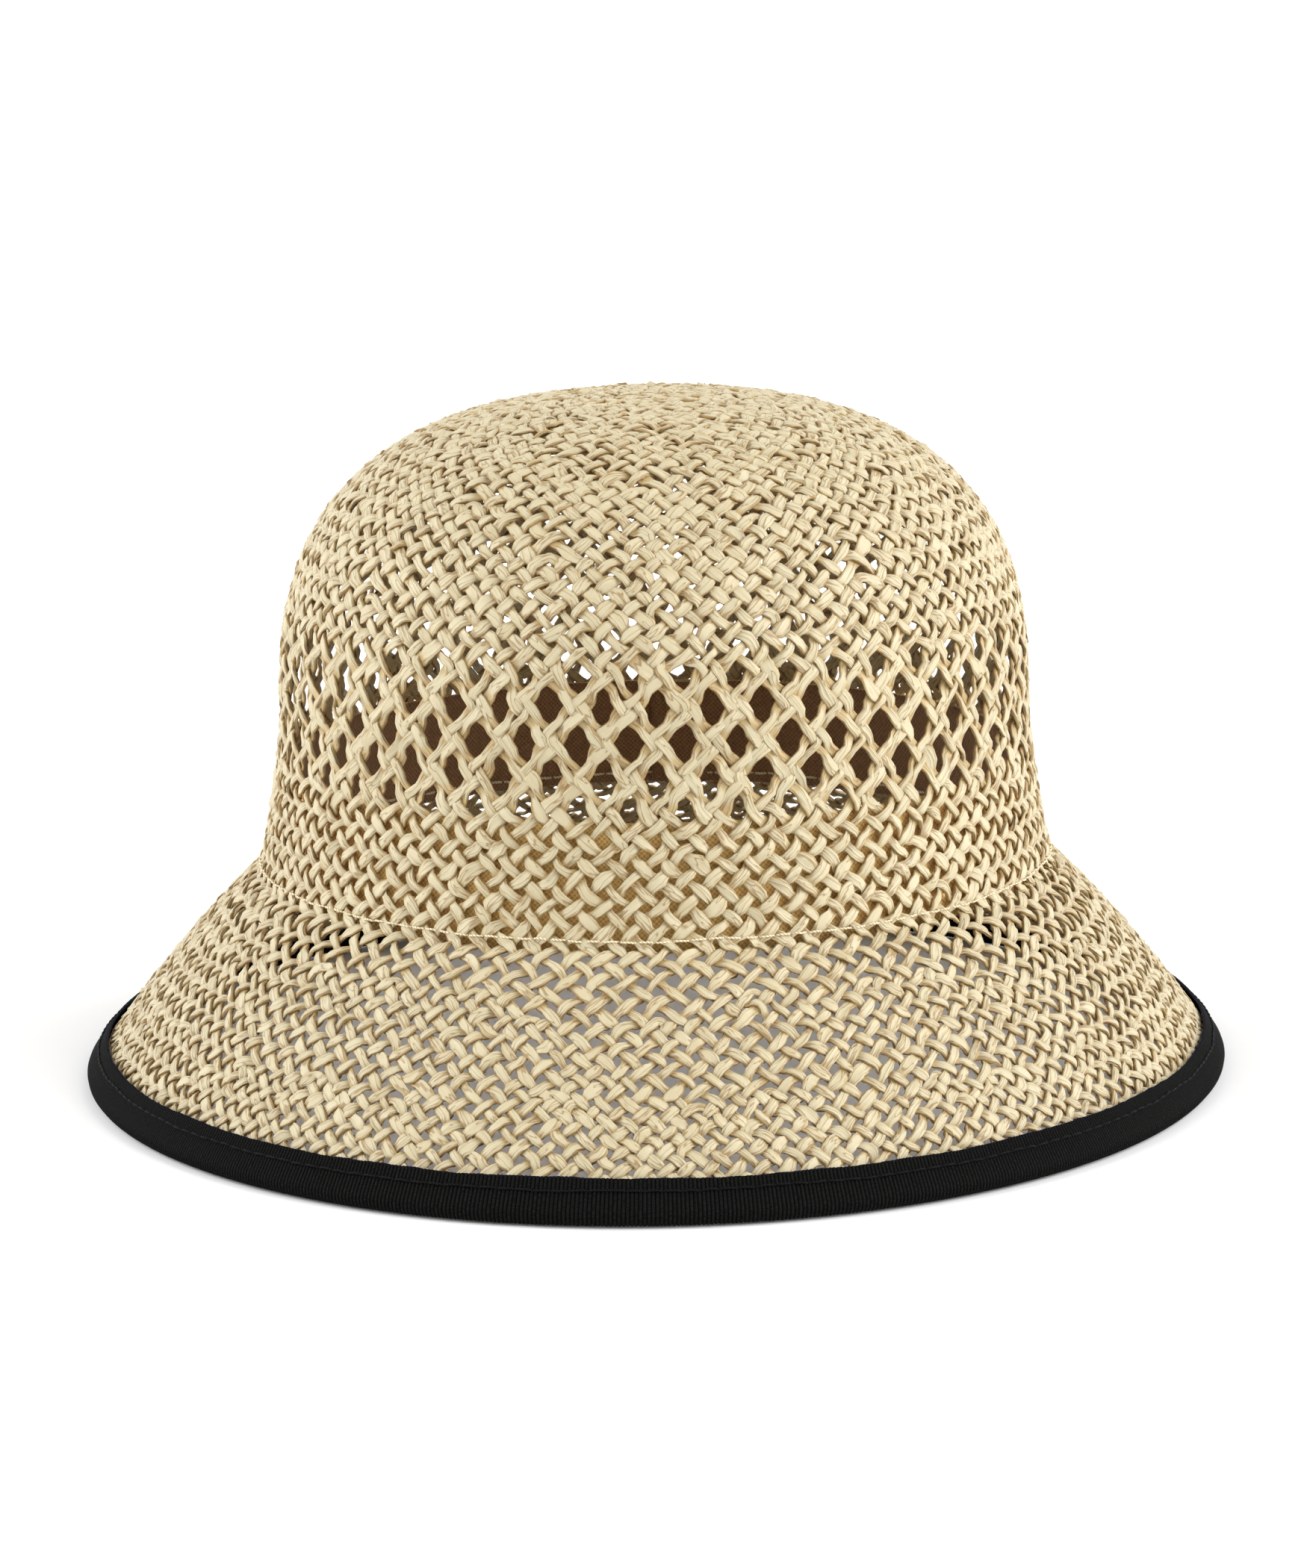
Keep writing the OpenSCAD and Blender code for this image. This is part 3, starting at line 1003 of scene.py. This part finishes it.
def build_wire(material):
    low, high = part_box("brim_wire")
    radius = np.full(WIRE_STEPS, (high[2] - low[2]) / 2)
    angle = np.linspace(0, TAU, WIRE_STEPS, endpoint=False)
    centre, normal = hood.points(angle, hood.length - PROFILE_STEP)
    sweep = Sweep(WIRE_SIDES)
    sweep.add(centre, normal, radius, radius, np.zeros(WIRE_STEPS), 0.5, closed=True)
    finish_piece(sweep.piece("brim_wire_ring", material), "wire", "brim_wire")


# ---------------------------------------- materials

class Nodes:
    """A small helper for building one material's node tree."""

    def __init__(self, name):
        self.material = bpy.data.materials.new(name)
        self.material.use_nodes = True
        self.tree = self.material.node_tree

    def fill(self, node, inputs):
        """Give a node's sockets, by name or number, plain values or other nodes' outputs."""
        for key, value in inputs.items():
            socket = node.inputs[key]
            if isinstance(value, bpy.types.NodeSocket):
                self.tree.links.new(value, socket)
            elif socket.type == "RGBA":
                socket.default_value = (*value, 1)
            else:
                socket.default_value = value

    def new(self, kind, inputs, **settings):
        node = self.tree.nodes.new(kind)
        for key, value in settings.items():
            setattr(node, key, value)
        self.fill(node, inputs)
        return node

    def uv(self):
        return self.new("ShaderNodeUVMap", {}, uv_map="along").outputs["UV"]

    def split_uv(self):
        return self.new("ShaderNodeSeparateXYZ", {"Vector": self.uv()}).outputs

    def marks(self):
        """The marks that a piece's points carry, as red, green and blue."""
        mark = self.new("ShaderNodeAttribute", {}, attribute_name="strand")
        return self.new("ShaderNodeSeparateColor", {"Color": mark.outputs["Color"]}).outputs

    def noise(self, vector, scale, detail=2.0, rough=0.55):
        placed = self.new("ShaderNodeMapping", {"Vector": vector, "Scale": scale}).outputs["Vector"]
        inputs = {"Vector": placed, "Scale": 1.0, "Detail": detail, "Roughness": rough}
        return self.new("ShaderNodeTexNoise", inputs).outputs["Fac"]

    def ramp(self, factor, stops):
        node = self.new("ShaderNodeValToRGB", {"Fac": factor})
        elements = node.color_ramp.elements
        while len(elements) < len(stops):
            elements.new(0.5)
        for element, (place, colour) in zip(elements, stops):
            element.position = place
            element.color = (*colour, 1)
        return node.outputs["Color"]

    def mix(self, factor, a, b, mode="MIX"):
        inputs = {0: factor, 6: a, 7: b}
        return self.new("ShaderNodeMix", inputs, data_type="RGBA", blend_type=mode).outputs[2]

    def tint(self, factor, colour, by):
        return self.mix(factor, colour, by, "MULTIPLY")

    def math(self, operation, *values):
        return self.new("ShaderNodeMath", dict(enumerate(values)), operation=operation).outputs[0]

    def bump(self, height, distance, strength):
        inputs = {"Height": height, "Distance": distance, "Strength": strength}
        return self.new("ShaderNodeBump", inputs).outputs["Normal"]

    def finish(self, inputs):
        self.fill(self.tree.nodes["Principled BSDF"], inputs)
        return self.material


def straw_material():
    """Crinkled natural paper: pale cream, with painted ochre shade in its fine creases, which are wider where
    it dips under, painted shade at its edges and painted shade where it passes under another strand.
    """
    m = Nodes("natural_straw")
    uv, marks = m.uv(), m.marks()
    tone, lift, edge = marks["Red"], marks["Green"], marks["Blue"]
    folds = m.noise(uv, (110, 6, 1), 1.5, 0.5)
    fibres = m.noise(uv, (420, 34, 1), 3.0, 0.6)
    patches = m.noise(uv, (70, 1.2, 1), 2.0, 0.5)
    paper = [(0.25, (0.49, 0.415, 0.26)), (0.55, (0.53, 0.465, 0.305)), (0.8, (0.56, 0.50, 0.34))]
    toned = m.mix(m.math("MULTIPLY", tone, 0.15), m.ramp(patches, paper), (0.54, 0.44, 0.26))
    away = m.math("ABSOLUTE", m.math("SUBTRACT", folds, 0.5))
    turned = m.math("ABSOLUTE", m.math("MULTIPLY_ADD", lift, 2.0, -1.0))
    crease_w = m.math("MULTIPLY_ADD", turned, -0.03, 0.055)
    crease = m.math("SMOOTH_MIN", m.math("DIVIDE", away, crease_w), 1.0, 0.3)
    # Painted shade: the fine creases are darkened ochre-brown.
    crease_shaded = m.tint(0.7, toned, m.ramp(crease, [(0.15, (0.42, 0.26, 0.10)), (0.9, (1, 1, 1))]))
    grained = m.tint(0.4, crease_shaded, m.ramp(fibres, [(0.32, (0.86, 0.78, 0.62)), (0.5, (1, 1, 1))]))
    # Painted shade: each strand darkens to ochre towards its edges.
    edge_shaded = m.tint(0.9, grained, m.ramp(edge, [(0.80, (1, 1, 1)), (1.0, (0.76, 0.58, 0.34))]))
    # Painted shade: darker where the strand passes under another.
    under_shade = m.ramp(lift, [(0.05, (0.84, 0.68, 0.44)), (0.55, (1, 1, 1))])
    pressed = m.math("MINIMUM", m.math("DIVIDE", away, 0.14), 1.0)
    height = m.math("ADD", pressed, m.math("MULTIPLY", fibres, 0.5))
    return m.finish({"Base Color": m.tint(0.8, edge_shaded, under_shade), "Roughness": 0.5, "Specular IOR Level": 0.4,
                     "Normal": m.bump(height, 0.22 * MM, 0.6)})


def webbing_material():
    """Golden cotton webbing in plain weave, with painted shade where its yarns dip and painted highlight
    where they rise, and its face on the head's side darkened brown as painted shade.
    """
    m = Nodes("cotton_webbing")
    place = m.split_uv()
    yarn = math.pi / WEBBING_YARN
    warp = m.math("SINE", m.math("MULTIPLY", place["X"], yarn))
    weft = m.math("SINE", m.math("MULTIPLY", place["Y"], yarn))
    lifted = m.math("MULTIPLY_ADD", m.math("MULTIPLY", warp, weft), 0.5, 0.5)
    stain = m.noise(m.uv(), (140, 140, 1), 3.0)
    # Painted shade and highlight by yarn height: darker where the yarns dip, lighter where they rise.
    colour = m.ramp(lifted, [(0.0, (0.62, 0.34, 0.08)), (0.5, (0.93, 0.58, 0.18)), (1.0, (0.97, 0.74, 0.32))])
    varied = m.tint(0.5, colour, m.ramp(stain, [(0.3, (0.78, 0.74, 0.66)), (0.7, (1, 1, 1))]))
    # Painted shade: the inside face is the same webbing darkened brown.
    inside_shade = m.tint(1.0, varied, (0.31, 0.24, 0.26))
    return m.finish({"Base Color": m.mix(m.marks()["Red"], inside_shade, varied), "Roughness": 0.85,
                     "Sheen Weight": 0.15, "Normal": m.bump(lifted, 0.25 * MM, 0.8)})


def grosgrain_material():
    """Black ribbed ribbon, with painted shade in the valleys between its ribs and a faint navy selvedge."""
    m = Nodes("black_grosgrain")
    uv, marks = m.uv(), m.marks()
    yarns = m.noise(uv, (900, 3600, 1))
    wear = m.noise(uv, (90, 160, 1), 3.0)
    black = m.ramp(yarns, [(0.3, (0.001, 0.001, 0.001)), (0.7, (0.011, 0.011, 0.010))])
    # Painted shade: near-black in the valleys between the ribs.
    ridge = m.ramp(marks["Red"], [(0.3, (0.0, 0.0, 0.0)), (0.9, (1, 1, 1))])
    rib_valley_shaded = m.mix(ridge, (0.0002, 0.0002, 0.0002), black)
    worn = m.mix(m.math("MULTIPLY", wear, 0.15), rib_valley_shaded, (0.010, 0.010, 0.009))
    return m.finish({"Base Color": m.mix(marks["Blue"], worn, (0.006, 0.007, 0.018)), "Roughness": 0.6,
                     "Specular IOR Level": 0.03, "Normal": m.bump(yarns, 0.08 * MM, 0.7)})


def thread_material(name, dark, light):
    """Two plies twisted together, with painted shade in the groove between them."""
    m = Nodes(name)
    place = m.split_uv()
    along = m.math("MULTIPLY", place["X"], TAU / THREAD_TWIST)
    around = m.math("MULTIPLY", place["Y"], 2 * TAU)
    ply = m.math("MULTIPLY_ADD", m.math("SINE", m.math("ADD", along, around)), 0.5, 0.5)
    # Painted shade: the colour darkens towards the groove between the plies.
    return m.finish({"Base Color": m.ramp(ply, [(0.1, dark), (0.8, light)]), "Roughness": 0.7,
                     "Specular IOR Level": 0.1, "Normal": m.bump(ply, 0.08 * MM, 0.7)})


def wire_material():
    m = Nodes("spring_wire")
    place = m.new("ShaderNodeTexCoord", {}).outputs["Object"]
    draw = m.noise(place, (900, 900, 900))
    return m.finish({"Base Color": m.ramp(draw, [(0.3, (0.42, 0.42, 0.43)), (0.7, (0.60, 0.60, 0.60))]),
                     "Roughness": m.math("MULTIPLY_ADD", draw, 0.2, 0.25), "Metallic": 1.0})


# ---------------------------------------- the hat

add_camera()
add_stage()
add_sky()
add_lights()

straw = straw_material()
build_straw(straw)
build_tip_patch(straw)

build_binding(grosgrain_material())
build_sweatband(webbing_material())

natural_thread = thread_material("natural_thread", (0.50, 0.38, 0.20), (0.86, 0.76, 0.56))
black_thread = thread_material("black_thread", (0.0005, 0.0005, 0.0005), (0.005, 0.005, 0.005))
seam_s = hood.head_s - BAND_SEAM
band_inside = STRAW_T / 2 + BAND_GAP + BAND_T
build_stitches("sweatband_needle_stitches", seam_s, 0.95 * MM, 1.2 * MM, BAND_NEEDLE_W,
               natural_thread, "natural_thread", "sweatband_needle_thread")
build_stitches("sweatband_bobbin_stitches", seam_s, -(band_inside + 0.2 * MM), 0.4 * MM, BAND_BOBBIN_W,
               natural_thread, "natural_thread", "sweatband_bobbin_thread")
binding_s = hood.length - RIBBON_LEG + RIBBON_SEAM
thread_off = RIBBON_FACE + 0.22 * MM
build_stitches("binding_needle_stitches", binding_s, thread_off, 0.35 * MM, BINDING_THREAD_W,
               black_thread, "black_thread", "binding_needle_thread")
build_stitches("binding_bobbin_stitches", binding_s, -thread_off, 0.35 * MM, BINDING_THREAD_W,
               black_thread, "black_thread", "binding_bobbin_thread")

wire = wire_material()
build_wire(wire)
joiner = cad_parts["wire_joiner"]
joiner.data.materials.clear()
joiner.data.materials.append(wire)
